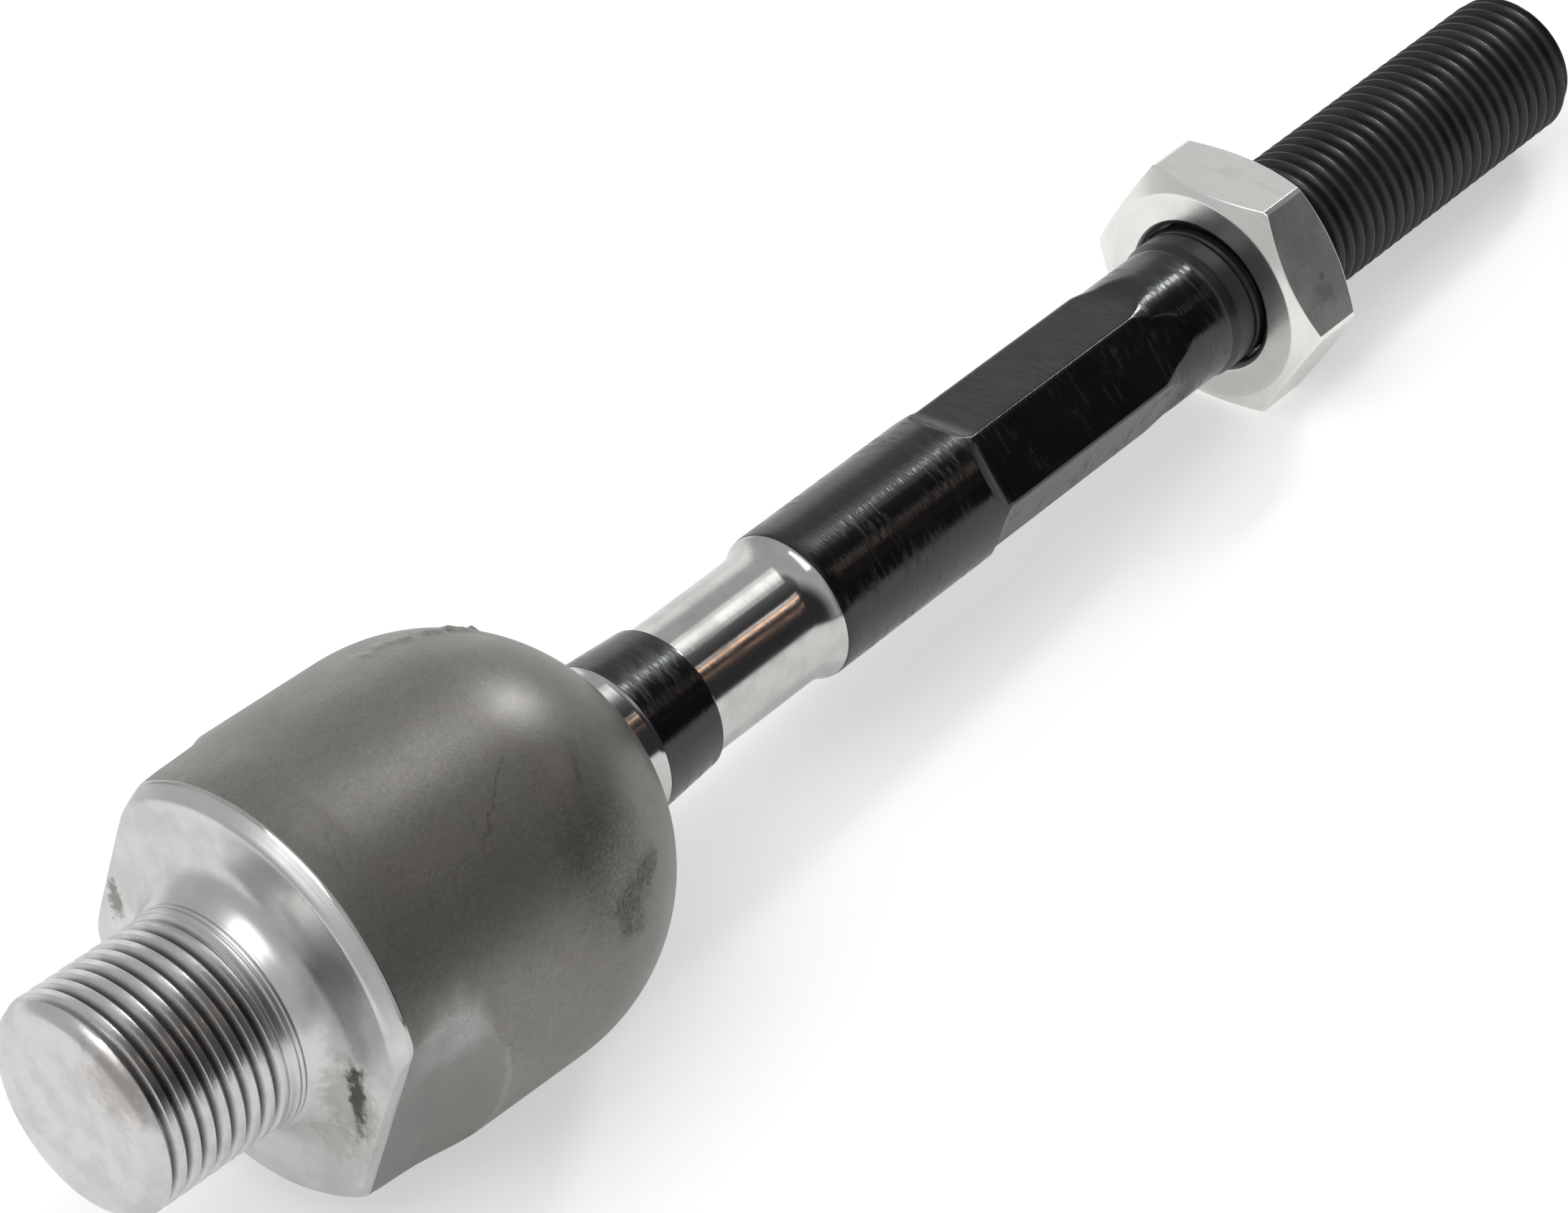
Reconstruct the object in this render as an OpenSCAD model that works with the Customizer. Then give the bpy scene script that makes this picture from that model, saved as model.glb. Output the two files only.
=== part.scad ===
// Inner tie rod for a rack-and-pinion steering gear: an axial ball joint in a
// forged housing, its one-piece ball stud and rod, and the jam nut.
// The part lies as it comes to rest on a flat surface, with +Z up. The origin is the
// centre of the housing's shoulder face, and the housing's axis lies in the XZ plane.

/* [Housing] */
// Diameter of the barrel
barrel_d = 37.7; // [36:0.1:42]
// From the ball's centre back to the shoulder face that meets the rack
shoulder_to_ball = 26.8; // [24:0.1:32]
// From the ball's centre forward to the mouth
ball_to_mouth = 10; // [9.8:0.1:10.6]
// Radius that the barrel's wall is rolled over on, towards the mouth
dome_r = 17.8; // [16.5:0.1:20]
// How far behind the ball's centre the rolling over starts
dome_start = 5; // [3:0.1:6]
// Diameter of the hole in the mouth
mouth_d = 19.6; // [18.2:0.1:20]
// Chamfer round the hole in the mouth
mouth_chamfer = 0.4; // [0.1:0.1:0.5]
// Diameter that the barrel narrows to at the shoulder's rim
rim_d = 37.2; // [35:0.1:37.7]
// Length over which the barrel narrows
draft_l = 6; // [2:0.5:10]
// Chamfer round the shoulder's rim
rim_chamfer = 1.3; // [0.3:0.05:1.5]
// Size across the two wrench flats
flats_af = 31; // [28:0.5:34]
// Length of the flats, from the shoulder to where they start to run out
flats_l = 5.2; // [3:0.1:8]
// Radius on which the flats run out to the barrel
flats_runout_r = 5.5; // [3:0.1:7]
// Turn of the flats about the housing's axis, from flats that face down and up
flats_turn = -71; // [-90:1:90]

/* [Rack thread] */
// Diameter over the thread that screws into the rack
stub_d = 19.7; // [18:0.1:22]
// Length of the threaded stub, from the shoulder face to its end
stub_l = 17.5; // [14:0.1:24]
// Diameter of the stub's end face
stub_end_d = 15.8; // [14:0.1:18]
// Length of the chamfer round the stub's end face
stub_chamfer = 1.5; // [0.5:0.1:2]
// Fillet where the stub meets the shoulder
stub_fillet = 3.5; // [1:0.1:5]

/* [Ball and seat] */
// Diameter of the ball
ball_d = 23; // [22:0.1:23.4]
// Diameter of the flat on the back of the ball
ball_flat_d = 8; // [4:0.5:10]
// Wall of the plastic seat round the ball
seat_wall = 1.4; // [1.2:0.1:1.6]
// Running clearance of the ball in the seat
ball_play = 0.06; // [0.02:0.01:0.1]
// Running clearance of the seat in the housing
seat_play = 0.06; // [0.02:0.01:0.1]
// From the ball's centre forward to the seat's front edge
seat_front = 6; // [4:0.1:7]
// Number of slots that let the seat spread over the ball
slots = 6; // [3:1:8]
// Width of one slot
slot_w = 1.2; // [0.8:0.1:2]
// How far the slots reach behind the ball's centre
slot_depth = 3; // [1:0.5:6]

/* [Neck and collar] */
// Diameter of the neck behind the ball
neck_d = 11; // [10:0.1:11.4]
// Fillet between the neck and the collar
neck_fillet = 2; // [1.8:0.1:3]
// From the mouth to the collar when the rod stands straight
collar_gap = 1.3; // [1:0.1:4]
// Diameter of the collar at its edge towards the ball
collar_d = 14.4; // [13.6:0.1:14.8]
// Diameter of the collar at its other end
collar_front_d = 13.4; // [13:0.1:14.4]
// Length of the collar
collar_l = 9.8; // [7:0.1:13]
// Length of the collar's bright part, which is straight and next to the ball
bare_l = 2.7; // [0.5:0.1:4]
// Chamfer on the collar's edges
collar_chamfer = 0.3; // [0.1:0.1:0.5]
// Diameter of the ground seat for the boot
boot_seat_d = 12.4; // [11.5:0.1:12.8]
// Length of the ground seat, with the flare at its end
boot_seat_l = 15.1; // [10:0.1:20]
// Length of the flare from the boot seat up to the rod
flare_l = 2.6; // [1.5:0.1:4]

/* [Rod] */
// Diameter of the rod
rod_d = 14; // [13.6:0.1:16]
// Length of the round rod between the boot seat and the wrench flats
rod_l = 19.7; // [15:0.1:40]
// Small step from the boot seat's flare up to the rod
rod_step = 0.08; // [0.02:0.01:0.2]
// Length of that step
rod_step_l = 0.6; // [0.2:0.1:1]
// Size across the six wrench flats on the rod
hex_af = 12; // [11.5:0.1:12.4]
// Length of the wrench flats along their edges
hex_l = 22.5; // [15:0.1:30]
// Radius on which the flats run out towards the ball
hex_back_r = 4.1; // [1:0.1:6]
// Radius on which the flats run out towards the thread
hex_front_r = 11.4; // [6:0.1:16]
// How far the front run-out starts beyond the end of the edges
hex_front_shift = 2; // [0:0.1:4]
// Turn of the rod's wrench flats against the jam nut's
hex_turn = -7; // [-30:1:30]
// Diameter of the relieved neck between the flats and the thread
relief_d = 13; // [12.6:0.1:13.4]
// Length of the taper down to that neck
relief_taper_l = 3; // [1:0.1:5]
// Length of the neck after the taper
relief_l = 7.6; // [3:0.1:8]

/* [Rod thread] */
// Diameter over the finished thread
thread_d = 14; // [13.8:0.1:16]
// Length of the finished thread
thread_l = 40.5; // [30:0.1:60]
// Diameter over the unfinished first turns
runout_d = 13.6; // [13.4:0.1:13.6]
// Length of the unfinished first turns
runout_l = 11.5; // [9:0.1:14]
// Chamfer on the end of the thread
thread_chamfer = 1.3; // [0.5:0.1:2]

/* [Jam nut] */
// Size across the nut's flats
nut_af = 22; // [20:0.5:24]
// Thickness of the nut
nut_h = 7.6; // [6:0.1:9]
// Diameter of the faces inside the nut's chamfers
nut_face_d = 20.5; // [18:0.1:20.8]
// Angle of the nut's chamfers from its faces
nut_chamfer_angle = 30; // [15:1:40]
// Diameter over the nut's blunt corners
nut_corner_d = 25.1; // [23.5:0.1:25.3]
// Diameter of the countersinks in the nut's bore
nut_sink_d = 15.2; // [14.8:0.1:16.5]
// Running clearance between the nut's bore and the finished thread
nut_play = 0.05; // [0.02:0.01:0.1]
// From the nut's far face to the start of the finished thread
nut_gap = 0.3; // [0.1:0.1:2]

/* [Rest] */
// How far the rod is swung up out of the housing's axis as the part lies
swing_up = 2.35; // [0:0.05:5]
// How far the rod is swung sideways as the part lies
swing_side = 1.1; // [-3:0.05:3]

/* [Hidden] */
$fn = 96;

barrel_r = barrel_d / 2;
ball_r = ball_d / 2;
neck_r = neck_d / 2;
seat_in_r = ball_r + ball_play;
seat_out_r = seat_in_r + seat_wall;
cavity_r = seat_out_r + seat_play;

// Places along the rod, counted from the ball's centre
collar_x = ball_to_mouth + collar_gap;
boot_seat_x = collar_x + collar_l;
rod_x = boot_seat_x + boot_seat_l;
hex_x = rod_x + rod_l;
relief_x = hex_x + hex_l;
runout_x = relief_x + relief_taper_l + relief_l;
thread_x = runout_x + runout_l;
end_x = thread_x + thread_l;
nut_x = thread_x - nut_gap - nut_h;

// How the part lies: the housing's rounded end and one flat of the nut touch the surface
nut_flat_l = (nut_af / 2 - nut_face_d / 2) * tan(nut_chamfer_angle);
nut_reach = nut_x + nut_h - nut_flat_l;
function ball_height(slope) =
    dome_r + (barrel_r - dome_r) * cos(slope) - dome_start * sin(slope);
function rod_slope_after(slope, rounds) =
    rounds == 0 ? slope : rod_slope_after(
        asin((ball_height(slope + swing_up) - nut_af / 2 * cos(slope)) / nut_reach),
        rounds - 1);
rod_slope = rod_slope_after(4, 8);
housing_slope = rod_slope + swing_up;
ball_at = shoulder_to_ball * [cos(housing_slope), 0, -sin(housing_slope)];
surface_z = ball_at[2] - ball_height(housing_slope);

// Distance along the axis in which a round of radius r, tangent to it, rises by h
function run(r, h) = sqrt(r * r - (r - h) * (r - h));

// Places a child that is drawn along +Z from the ball's centre on the housing's axis
module on_housing() {
    translate(ball_at)
        rotate([0, 90 + housing_slope, 0])
            children();
}

// Places a child that is drawn along +Z from the ball's centre on the rod's axis
module on_rod() {
    translate(ball_at)
        rotate([0, 90 + rod_slope, swing_side])
            children();
}

// Concave corner between radius r and a wall at height z, which rises by h
module inside_fillet(r, z, fillet, h) {
    l = run(fillet, h);
    difference() {
        translate([r, z - l])
            square([h, l]);
        translate([r + fillet, z - l])
            circle(r = fillet);
    }
}

// Slot that a round cutter leaves: flat from z1 to z2 at distance h, with round ends
module cutter_path(h, z1, r1, z2, r2, w) {
    rotate([90, 0, 0])
        linear_extrude(w, center = true)
            union() {
                translate([h, z1])
                    square([2 * min(r1, r2), z2 - z1]);
                translate([h + r1, z1])
                    circle(r = r1);
                translate([h + r2, z2])
                    circle(r = r2);
            }
}

// Barrel with its chamfered shoulder, rolled over towards the mouth
module barrel_outline() {
    rim_r = rim_d / 2;
    intersection() {
        polygon([
            [0, -shoulder_to_ball],
            [rim_r - rim_chamfer, -shoulder_to_ball],
            [rim_r, -shoulder_to_ball + rim_chamfer],
            [barrel_r, -shoulder_to_ball + draft_l],
            [barrel_r, ball_to_mouth],
            [0, ball_to_mouth]
        ]);
        union() {
            translate([0, -shoulder_to_ball])
                square([barrel_r, shoulder_to_ball - dome_start]);
            translate([barrel_r - dome_r, -dome_start])
                circle(r = dome_r);
        }
    }
}

// Threaded stub, drawn at the size over its thread, and its root in the barrel
module stub_outline() {
    stub_r = stub_d / 2;
    translate([0, -shoulder_to_ball])
        polygon([
            [0, stub_fillet],
            [stub_r, stub_fillet],
            [stub_r, stub_chamfer - stub_l],
            [stub_end_d / 2, -stub_l],
            [0, -stub_l]
        ]);
    inside_fillet(stub_r, -shoulder_to_ball, stub_fillet, stub_fillet);
}

// Bore for the seat, closed to a part-sphere at the mouth
module cavity_outline() {
    translate([0, -cavity_r])
        square([cavity_r, cavity_r]);
    intersection() {
        circle(r = cavity_r);
        square([cavity_r, cavity_r]);
    }
    square([mouth_d / 2, ball_to_mouth + 1]);
    translate([0, ball_to_mouth - mouth_chamfer])
        polygon([
            [0, 0],
            [mouth_d / 2, 0],
            [mouth_d / 2 + 2 * mouth_chamfer, 2 * mouth_chamfer],
            [0, 2 * mouth_chamfer]
        ]);
}

module housing() {
    flats_from = -shoulder_to_ball - stub_fillet;
    color("dimgray")
        on_housing()
            difference() {
                union() {
                    rotate_extrude()
                        barrel_outline();
                    rotate_extrude()
                        stub_outline();
                }
                rotate_extrude()
                    cavity_outline();
                for (side = [0, 180])
                    rotate([0, 0, flats_turn + side])
                        cutter_path(flats_af / 2, flats_from, flats_runout_r,
                            -shoulder_to_ball + flats_l, flats_runout_r, barrel_d);
            }
}

module seat_outline() {
    difference() {
        intersection() {
            union() {
                translate([0, -seat_out_r])
                    square([seat_out_r, seat_out_r]);
                circle(r = seat_out_r);
            }
            translate([0, -seat_out_r])
                square([seat_out_r, seat_out_r + seat_front]);
        }
        circle(r = seat_in_r);
    }
}

module ball_seat() {
    color("ivory")
        on_housing()
            difference() {
                rotate_extrude()
                    seat_outline();
                for (i = [0:slots - 1])
                    rotate([0, 0, 360 / slots * i])
                        translate([0, -slot_w / 2, -slot_depth])
                            cube([seat_out_r + 1, slot_w, slot_depth + seat_front + 1]);
            }
}

module ball_and_neck_outline() {
    ball_flat_x = sqrt(ball_r * ball_r - ball_flat_d * ball_flat_d / 4);
    intersection() {
        circle(r = ball_r);
        translate([0, -ball_flat_x])
            square([ball_r, ball_flat_x + ball_r]);
    }
    square([neck_r, collar_x]);
    inside_fillet(neck_r, collar_x, neck_fillet, collar_d / 2 - collar_chamfer - neck_r);
}

module collar_outline() {
    back_r = collar_d / 2;
    front_r = collar_front_d / 2;
    translate([0, collar_x])
        polygon([
            [0, 0],
            [back_r - collar_chamfer, 0],
            [back_r, collar_chamfer],
            [back_r, bare_l],
            [front_r, collar_l - collar_chamfer],
            [front_r - collar_chamfer, collar_l],
            [0, collar_l]
        ]);
}

module boot_seat_outline() {
    seat_r = boot_seat_d / 2;
    rise = rod_d / 2 - rod_step - seat_r;
    flare_r = (flare_l * flare_l + rise * rise) / (2 * rise);
    translate([0, boot_seat_x])
        square([seat_r, boot_seat_l]);
    inside_fillet(seat_r, rod_x, flare_r, rise);
}

module rod_outline() {
    rod_r = rod_d / 2;
    relief_r = relief_d / 2;
    polygon([
        [0, rod_x],
        [rod_r - rod_step, rod_x],
        [rod_r, rod_x + rod_step_l],
        [rod_r, relief_x],
        [relief_r, relief_x + relief_taper_l],
        [relief_r, runout_x],
        [0, runout_x]
    ]);
}

module thread_outline() {
    run_r = runout_d / 2;
    full_r = thread_d / 2;
    lead = run_r - relief_d / 2;
    polygon([
        [0, runout_x],
        [run_r - lead, runout_x],
        [run_r, runout_x + 2 * lead],
        [run_r, thread_x],
        [full_r, thread_x],
        [full_r, end_x - thread_chamfer],
        [full_r - thread_chamfer, end_x],
        [0, end_x]
    ]);
}

module tie_rod() {
    flats_z1 = hex_x + run(hex_back_r, (rod_d - hex_af) / 2);
    flats_z2 = relief_x + hex_front_shift;
    color([0.12, 0.12, 0.13])
        on_rod()
            difference() {
                rotate_extrude()
                    union() {
                        ball_and_neck_outline();
                        collar_outline();
                        boot_seat_outline();
                        rod_outline();
                        thread_outline();
                    }
                for (side = [0:60:300])
                    rotate([0, 0, hex_turn + side])
                        cutter_path(hex_af / 2, flats_z1, hex_back_r, flats_z2, hex_front_r, rod_d);
            }
}

// Outline that blunts the nut's corners, chamfers both faces and leaves a countersunk bore
module nut_outline() {
    corner_r = nut_corner_d / 2;
    face_r = nut_face_d / 2;
    bore_r = thread_d / 2 + nut_play;
    drop = (corner_r - face_r) * tan(nut_chamfer_angle);
    sink = nut_sink_d / 2 - bore_r;
    polygon([
        [bore_r, sink],
        [bore_r + sink, 0],
        [face_r, 0],
        [corner_r, drop],
        [corner_r, nut_h - drop],
        [face_r, nut_h],
        [bore_r + sink, nut_h],
        [bore_r, nut_h - sink]
    ]);
}

module jam_nut() {
    color("silver")
        on_rod()
            translate([0, 0, nut_x])
                intersection() {
                    rotate([0, 0, 30])
                        cylinder(r = nut_af / sqrt(3), h = nut_h, $fn = 6);
                    rotate_extrude()
                        nut_outline();
                }
}

housing();
ball_seat();
tie_rod();
jam_nut();
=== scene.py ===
# %% [markdown]
# An inner tie rod, shown as it lies on a white table.
# The real part is a ball joint in line with a rod. A threaded stub screws into the end of the
# steering rack, a barrel holds the ball, and a long thread carries the outer joint.
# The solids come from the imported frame. Every piece made here takes the place of one solid, in
# metres and in the same place, so that it can move with its body. The ball's plastic seat is
# good enough as it comes, and only gets a finish.

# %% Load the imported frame
import math
import bpy
import bmesh
import numpy as np
from mathutils import Matrix, Vector, kdtree


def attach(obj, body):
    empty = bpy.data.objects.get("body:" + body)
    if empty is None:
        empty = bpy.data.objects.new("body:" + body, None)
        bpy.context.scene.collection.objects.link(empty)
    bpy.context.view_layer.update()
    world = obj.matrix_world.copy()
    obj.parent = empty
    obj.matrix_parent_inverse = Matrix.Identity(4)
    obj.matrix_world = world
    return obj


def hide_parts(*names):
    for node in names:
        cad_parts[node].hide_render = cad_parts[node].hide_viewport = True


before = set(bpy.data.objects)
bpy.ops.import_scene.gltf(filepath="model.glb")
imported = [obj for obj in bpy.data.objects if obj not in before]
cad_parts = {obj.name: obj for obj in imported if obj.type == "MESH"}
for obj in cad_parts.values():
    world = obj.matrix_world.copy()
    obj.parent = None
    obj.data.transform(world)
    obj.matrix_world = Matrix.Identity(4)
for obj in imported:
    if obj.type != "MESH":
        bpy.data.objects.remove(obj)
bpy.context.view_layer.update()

# %% [markdown]
# The part lies askew: its barrel touches the table with its rounded end, and one flat of the
# nut touches further along. The ball's centre is the one point where the two axes meet, so
# every outline below is drawn along an axis from there, in millimetres.
# It could also be drawn upright and turned later, but a finished object has to stay unturned,
# so the turn goes into the mesh.

# %% Axes of the barrel and of the rod
MM = 0.001
BALL_CENTRE = np.array([26.62520, 0.0, -3.05595])
TABLE_Z = -21.32896


def axes_of(slope, side):
    lean = Matrix.Rotation(math.radians(90 + slope), 3, "Y")
    return np.array(Matrix.Rotation(math.radians(side), 3, "Z") @ lean)


BARREL_AXES = axes_of(6.54756, 0)
ROD_AXES = axes_of(4.19756, 1.1)


def to_table(points, axes):
    return (np.asarray(points) @ axes.T + BALL_CENTRE) * MM


def to_axis(points, axes):
    return (np.asarray(points) / MM - BALL_CENTRE) @ axes


print("rod axis", np.round(ROD_AXES[:, 2], 4), "barrel axis", np.round(BARREL_AXES[:, 2], 4))

# %% [markdown]
# The camera comes before the pieces, so that a first render already shows the photograph's
# view. Its place and lens were worked out from the outlines of the barrel, the rod and the nut.
# The long lens keeps the far thread nearly as large as the near one.

# %% Camera at the photograph's viewing angle
SENSOR_MM = 36
LENS_MM = 121.967
camera_data = bpy.data.cameras.new("camera")
camera_data.sensor_width = SENSOR_MM
camera_data.sensor_fit = "HORIZONTAL"
camera_data.lens = LENS_MM
camera_data.clip_start = 0.01
camera = bpy.data.objects.new("camera", camera_data)
bpy.context.scene.collection.objects.link(camera)
camera.matrix_world = Matrix((
    (0.66856965, 0.54453979, -0.50644944, -0.16301626),
    (-0.73774983, 0.40006329, -0.54375964, -0.24144976),
    (-0.09348693, 0.73717418, 0.66920432, 0.29259369),
    (0, 0, 0, 1)))
bpy.context.scene.camera = camera
print("camera lens", camera_data.lens, "mm")

# %% [markdown]
# Turned parts are drawn as the lathe makes them: an outline of radius against place along the
# axis. A plain screw modifier would do for round shapes, but the wrench flats cut across them.
# So the outline is walked in small steps, and each step becomes one ring of points. The list of
# finishes says which coat each strip between two rings gets. A trial cone is walked below.

# %% Outline of a turned part
class Outline:
    def __init__(self, radius, place):
        self.points = [(radius, place)]
        self.finishes = []

    def line(self, radius, place, step, finish):
        r0, z0 = self.points[-1]
        count = max(1, round(math.hypot(radius - r0, place - z0) / step))
        for k in range(1, count + 1):
            self.points.append((r0 + (radius - r0) * k / count, z0 + (place - z0) * k / count))
            self.finishes.append(finish)
        return self

    def arc(self, centre_r, centre_z, radius, start, stop, count, finish):
        for k in range(1, count + 1):
            angle = math.radians(start + (stop - start) * k / count)
            self.points.append((centre_r + radius * math.cos(angle),
                                centre_z + radius * math.sin(angle)))
            self.finishes.append(finish)
        return self


print("a cone in", len(Outline(5, 0).line(0, 20, 5, 0).finishes), "strips")

# %% [markdown]
# Milled flats are a limit on the radius. In each direction round the axis the surface lies at
# the outline or at the flat, whichever is nearer the axis. A soft minimum between the two
# leaves a small round along the edge, as tumbling and handling do on the real part, and that
# round catches the light. Boolean cuts would need a bevel on every curved edge afterwards.

# %% Flats and soft edges
NO_LIMIT = 99.0
FACING = 0.2


def flat_distance(place, half_width, start, start_round, end, end_round):
    before = np.clip((start - place) / start_round, 0, 1)
    after = np.clip((place - end) / end_round, 0, 1)
    rise = (start_round * (1 - np.sqrt(1 - before ** 2))
            + end_round * (1 - np.sqrt(1 - after ** 2)))
    gone = ((start - place) >= start_round) | ((place - end) >= end_round)
    return np.where(gone, NO_LIMIT, half_width + rise)


def soft_minimum(a, b, width):
    share = np.clip(0.5 + 0.5 * (b - a) / width, 0, 1)
    return b * (1 - share) + a * share - width * share * (1 - share)


def flats_limit(place, angle, turns, cut, corner=0.02):
    limit = np.full(np.broadcast(place, angle).shape, NO_LIMIT)
    distance = flat_distance(place, **cut)
    for turn in turns:
        lean = np.cos(angle - math.radians(turn))
        flat = np.where(lean > FACING, distance / np.maximum(lean, FACING), NO_LIMIT)
        limit = soft_minimum(limit, flat, corner)
    return limit


print("1 and 1, softened over 0.4:", soft_minimum(1.0, 1.0, 0.4))

# %% [markdown]
# Each ring of points goes once round at the outline's radius, unless a flat cuts it short. The
# rings of a tumbled part are eased towards their neighbours. A burr is added last, to stay sharp.

# %% Rings of points round an outline
def turned_rings(outline, columns, first_angle=0.0, limit=None, width=0.3, ease=0, lump=None):
    points = np.array(outline.points)
    angle = math.radians(first_angle) + np.arange(columns) * 2 * math.pi / columns
    radius, place = points[:, :1], points[:, 1:]
    radius = np.broadcast_to(radius, (len(points), columns)).copy()
    place = np.broadcast_to(place, radius.shape).copy()
    if limit is not None:
        radius = np.where(radius > 1, soft_minimum(radius, limit(place, angle[None, :]), width),
                          radius)
    for _ in range(ease):
        radius[1:-1] = (radius[:-2] + 2 * radius[1:-1] + radius[2:]) / 4
        place[1:-1] = (place[:-2] + 2 * place[1:-1] + place[2:]) / 4
    if lump is not None:
        radius = radius + lump(place, angle[None, :])
    return np.stack([radius * np.cos(angle), radius * np.sin(angle), place], -1)


# %% [markdown]
# The rings are sewn into a closed skin. Where a ring has shrunk to a point on the axis, or
# several rings fall together in a milled flat, their points are merged, so that the surface has
# no seam and no open pole.

# %% Sew rings into a mesh
def add_skin(bm, rings, strip_finish):
    rows, columns = rings.shape[:2]
    verts = [bm.verts.new(p) for p in rings.reshape(-1, 3)]
    for i in range(rows - 1):
        slot = strip_finish[i]
        for j in range(columns):
            k = (j + 1) % columns
            face = bm.faces.new((verts[i * columns + j], verts[i * columns + k],
                                 verts[(i + 1) * columns + k], verts[(i + 1) * columns + j]))
            face.material_index = slot


SEWN_MM = 0.002


def close_up(bm):
    bmesh.ops.remove_doubles(bm, verts=bm.verts, dist=SEWN_MM)
    bmesh.ops.dissolve_degenerate(bm, edges=bm.edges, dist=SEWN_MM / 4)
    bmesh.ops.recalc_face_normals(bm, faces=bm.faces)
    print("open edges:", sum(edge.is_boundary for edge in bm.edges))


# %% [markdown]
# A finished piece carries three facts that its materials read. The first is where each point
# is along and round the axis, so that turning marks run round and brush marks run along. The
# second is how near a worn edge is, and the third where a flat was milled. They could be
# painted, but measured on the mesh they follow every change of its shape.

# %% Wear along the edges
def edge_wear(mesh, points, reach, least_angle):
    bm = bmesh.new()
    bm.from_mesh(mesh)
    rims = set()
    for edge in bm.edges:
        if edge.is_manifold and edge.calc_face_angle_signed(0) > math.radians(least_angle):
            rims.update(v.index for v in edge.verts)
    bm.free()
    wear = np.zeros(len(points))
    if rims:
        tree = kdtree.KDTree(len(rims))
        for index in rims:
            tree.insert(points[index], index)
        tree.balance()
        for n, point in enumerate(points):
            wear[n] = math.exp(-(tree.find(point)[2] / reach) ** 2)
    print("points on worn edges:", len(rims))
    return wear


# %% Finish a piece and hand it to the frame
body_nodes = {"housing": "housing", "rod": "tie_rod", "nut": "jam_nut"}


def finish_piece(name, bm, axes, finishes, body, flats=None, wear_reach=0.25,
                 wear_angle=14, sharp=32):
    mesh = bpy.data.meshes.new(name)
    bm.to_mesh(mesh)
    bm.free()
    local = np.empty(len(mesh.vertices) * 3, dtype=np.float32)
    mesh.vertices.foreach_get("co", local)
    local = local.reshape(-1, 3).astype(float)
    wear = edge_wear(mesh, local, wear_reach, wear_angle)
    milled = np.zeros(len(local))
    if flats is not None:
        radius = np.hypot(local[:, 0], local[:, 1])
        limit = flats(local[:, 2], np.arctan2(local[:, 1], local[:, 0]))
        milled = np.clip(1.6 - np.abs(radius - limit) / 0.12, 0, 1)
    mesh.vertices.foreach_set("co", to_table(local, axes).astype(np.float32).ravel())
    place = mesh.attributes.new("axis_mm", "FLOAT_VECTOR", "POINT")
    place.data.foreach_set("vector", local.astype(np.float32).ravel())
    for fact, values in (("worn", wear), ("milled", milled)):
        mesh.attributes.new(fact, "FLOAT", "POINT").data.foreach_set(
            "value", values.astype(np.float32))
    mesh.shade_smooth()
    mesh.set_sharp_from_angle(angle=math.radians(sharp))
    mesh.update()
    piece = bpy.data.objects.new(name, mesh)
    bpy.context.scene.collection.objects.link(piece)
    for material in finishes:
        mesh.materials.append(material)
    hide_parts(body_nodes[body])
    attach(piece, body)
    mesh.calc_loop_triangles()
    print(name, len(mesh.vertices), "points,", len(mesh.loop_triangles), "triangles")
    return piece


print("pieces take the place of", sorted(body_nodes.values()))


# %% [markdown]
# Node trees are easier to read when sums look like sums. Here each output of a node is wrapped
# as a term, and adding or multiplying terms makes the Math nodes that do it. A call for each
# Math node would give the same trees, but hide the formula. A number is written on the socket
# that takes it, and a term is linked to it.

# %% Helpers for node trees
class Term:
    def __init__(self, tree, socket):
        self.tree = tree
        self.socket = socket

    def __add__(self, other):
        return calc("ADD", self, other)

    def __sub__(self, other):
        return calc("SUBTRACT", self, other)

    def __rsub__(self, other):
        return calc("SUBTRACT", other, self)

    def __mul__(self, other):
        return calc("MULTIPLY", self, other)

    def __truediv__(self, other):
        return calc("DIVIDE", self, other)

    def __rtruediv__(self, other):
        return calc("DIVIDE", other, self)

    def ramp(self, low, high, to_low=0.0, to_high=1.0, smooth=False):
        return term(self.tree, "ShaderNodeMapRange", {
            0: self, 1: low, 2: high, 3: to_low, 4: to_high}, clamp=True,
            interpolation_type="SMOOTHSTEP" if smooth else "LINEAR")


def put(tree, socket, value):
    if isinstance(value, Term):
        tree.links.new(value.socket, socket)
    elif isinstance(value, tuple) and socket.type == "RGBA":
        socket.default_value = (*value, 1)
    else:
        socket.default_value = value


def add(tree, kind, inputs=None, **settings):
    made = tree.nodes.new(kind)
    for key, value in settings.items():
        setattr(made, key, value)
    for key, value in (inputs or {}).items():
        put(tree, made.inputs[key], value)
    return made


def term(tree, kind, inputs=None, output=0, **settings):
    return Term(tree, add(tree, kind, inputs, **settings).outputs[output])


def terms_of(tree, made):
    return {socket.name: Term(tree, socket) for socket in made.outputs if socket.name}


def tree_of(values):
    return next(value.tree for value in values if isinstance(value, Term))


def calc(operation, *values, clamp=False):
    return term(tree_of(values), "ShaderNodeMath", dict(enumerate(values)),
                operation=operation, use_clamp=clamp)


def vector_calc(operation, *values):
    sockets = (0, 3) if operation == "SCALE" else (0, 1)
    gives_number = operation in ("LENGTH", "DOT_PRODUCT")
    return term(tree_of(values), "ShaderNodeVectorMath", dict(zip(sockets, values)),
                output="Value" if gives_number else "Vector", operation=operation)


def noise(place, scale, detail=2.0, roughness=0.5):
    return term(place.tree, "ShaderNodeTexNoise", {
        "Vector": place, "Scale": scale, "Detail": detail, "Roughness": roughness})


def blend_colours(tree, amount, a, b):
    return term(tree, "ShaderNodeMix", {0: amount, 6: a, 7: b}, output=2, data_type="RGBA")


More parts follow.
